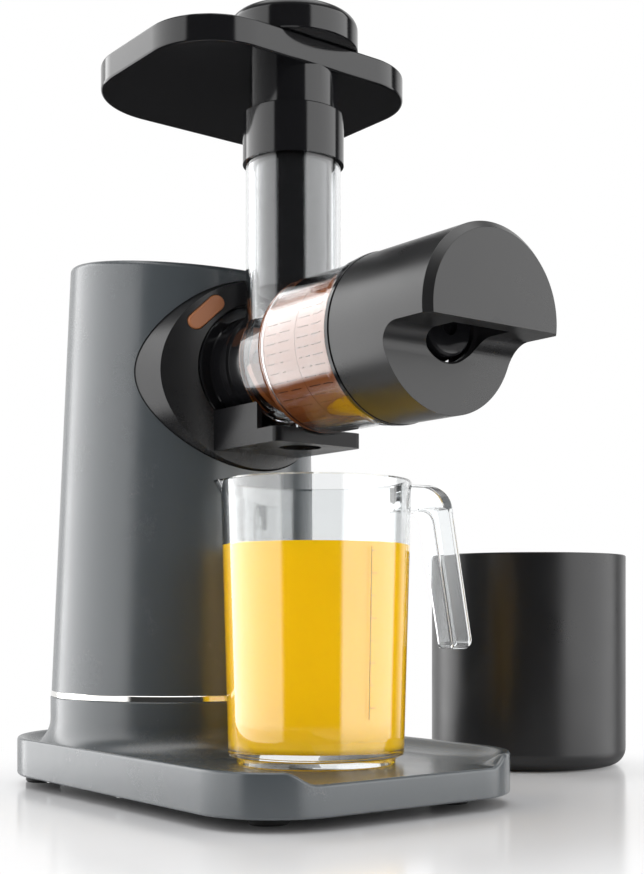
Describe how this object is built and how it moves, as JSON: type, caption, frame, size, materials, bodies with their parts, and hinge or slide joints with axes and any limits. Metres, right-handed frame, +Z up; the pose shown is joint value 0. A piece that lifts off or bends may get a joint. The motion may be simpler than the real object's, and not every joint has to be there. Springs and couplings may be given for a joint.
{
  "type": "cold press juicer",
  "caption": "Upright juicer with a horizontal auger, clear chamber and chute, tray hopper, pusher, clear jug and separate pulp cup.",
  "frame": {"origin": "on the counter, below the centre of the tower's top", "axes": "+Z up, +X along the auger from the tower towards the pulp outlet, +Y to the side the jug handle points to"},
  "size_m": [0.3133, 0.3469, 0.372],
  "materials": {
    "body_paint": "satin paint look",
    "black_satin": "satin",
    "black_plain": "matte",
    "housing_grey": "matte",
    "chrome_trim": "polished",
    "copper_plastic": "satin",
    "grey_plastic": "satin",
    "clear_plastic": "clear, polished",
    "amber_plastic": "gloss",
    "white_acetal": "satin",
    "pinion_brass": "machined",
    "steel": "plated",
    "laminations": "matte",
    "ferrite": "matte",
    "board_green": "satin",
    "rubber_black": "matte",
    "silicone": "matte"
  },
  "bodies": {
    "base": {"tray_base": "body_paint", "bottom_cover": "black_plain", "cover_screws": "steel", "foot_back_left": "rubber_black", "foot_back_right": "rubber_black", "foot_front_left": "rubber_black", "foot_front_right": "rubber_black", "trim_band": "chrome_trim", "tower_shell": "body_paint", "top_panel": "black_satin", "control_board": "board_green", "start_switch": "black_plain", "reverse_switch": "black_plain", "power_module": "black_plain", "board_screws": "steel", "face_plate": "black_satin", "face_screws": "steel", "shaft_seal": "rubber_black", "spout_bracket": "black_satin", "bracket_screws": "steel", "chassis_plate": "steel", "chassis_screws": "steel", "gearbox_case": "housing_grey", "gearbox_cover": "housing_grey", "gearbox_screws": "steel", "output_bearing_back": "steel", "output_bearing_front": "steel", "idler_pin": "steel", "motor_magnets": "ferrite", "motor_can": "steel", "motor_end": "black_plain", "motor_bush_back": "pinion_brass", "motor_bush_front": "pinion_brass", "motor_screws": "steel", "mains_inlet": "black_plain", "start_spring": "steel", "reverse_spring": "steel", "release_spring": "steel"},
    "output": {"output_shaft": "steel", "output_gear": "white_acetal"},
    "idler": {"idler_gear": "white_acetal"},
    "motor": {"motor_shaft": "steel", "armature": "laminations", "motor_pinion": "pinion_brass"},
    "start": {"start_button": "copper_plastic"},
    "reverse": {"reverse_button": "grey_plastic"},
    "release": {"release_button": "copper_plastic"},
    "chamber": {"juice_chamber": "clear_plastic", "bayonet_collar": "black_satin", "auger_seal": "silicone", "filter": "amber_plastic"},
    "auger": {"auger": "amber_plastic"},
    "lock": {"lock_ring": "black_satin"},
    "cap": {"end_cap": "black_satin", "cap_seal": "rubber_black"},
    "hopper": {"hopper": "black_satin"},
    "pusher": {"pusher_stem": "black_satin", "pusher_cap": "black_satin"},
    "jug": {"jug": "clear_plastic"},
    "cup": {"pulp_cup": "black_satin"}
  },
  "joints": [
    {"name": "output_spin", "type": "hinge", "parent": "base", "child": "output", "pos_m": [0.04, 0, 0.209], "axis": [1, 0, 0], "continuous": true},
    {"name": "idler_spin", "type": "hinge", "parent": "base", "child": "idler", "pos_m": [0.04, 0, 0.1715], "axis": [1, 0, 0], "continuous": true},
    {"name": "motor_spin", "type": "hinge", "parent": "base", "child": "motor", "pos_m": [0.04, 0, 0.1427], "axis": [1, 0, 0], "continuous": true},
    {"name": "auger_spin", "type": "hinge", "parent": "chamber", "child": "auger", "pos_m": [0.12, 0, 0.209], "axis": [1, 0, 0], "continuous": true},
    {"name": "start_press", "type": "slide", "parent": "base", "child": "start", "axis": [-0.1191, 0, -0.9929], "range_m": [0, 0.0015], "stiffness_N_per_m": 400, "deforming": ["start_spring"]},
    {"name": "reverse_press", "type": "slide", "parent": "base", "child": "reverse", "axis": [-0.1191, 0, -0.9929], "range_m": [0, 0.0015], "stiffness_N_per_m": 400, "deforming": ["reverse_spring"]},
    {"name": "release_press", "type": "slide", "parent": "base", "child": "release", "axis": [-1, 0, 0], "range_m": [0, 0.003], "stiffness_N_per_m": 400, "deforming": ["release_spring"]},
    {"name": "chamber_pull", "type": "slide", "parent": "base", "child": "chamber", "axis": [1, 0, 0], "range_m": [0, 0.07]},
    {"name": "lock_turn", "type": "hinge", "parent": "chamber", "child": "lock", "pos_m": [0.167, 0, 0.209], "axis": [1, 0, 0], "range_deg": [0, 30]},
    {"name": "cap_pull", "type": "slide", "parent": "lock", "child": "cap", "axis": [1, 0, 0], "range_m": [0, 0.06]},
    {"name": "hopper_lift", "type": "slide", "parent": "chamber", "child": "hopper", "axis": [0, 0, 1], "range_m": [0, 0.05]},
    {"name": "pusher_lift", "type": "slide", "parent": "hopper", "child": "pusher", "axis": [0, 0, 1], "range_m": [0, 0.1]},
    {"name": "jug_slide", "type": "slide", "parent": "base", "child": "jug", "axis": [1, 0, 0], "range_m": [0, 0.15]},
    {"name": "cup_lift", "type": "slide", "parent": "base", "child": "cup", "axis": [0, 0, 1], "range_m": [0, 0.08]}
  ],
  "couplings": [
    {"joint": "idler_spin", "follows": "output_spin", "ratio": -4},
    {"joint": "motor_spin", "follows": "output_spin", "ratio": 20},
    {"joint": "auger_spin", "follows": "output_spin", "ratio": 1}
  ]
}
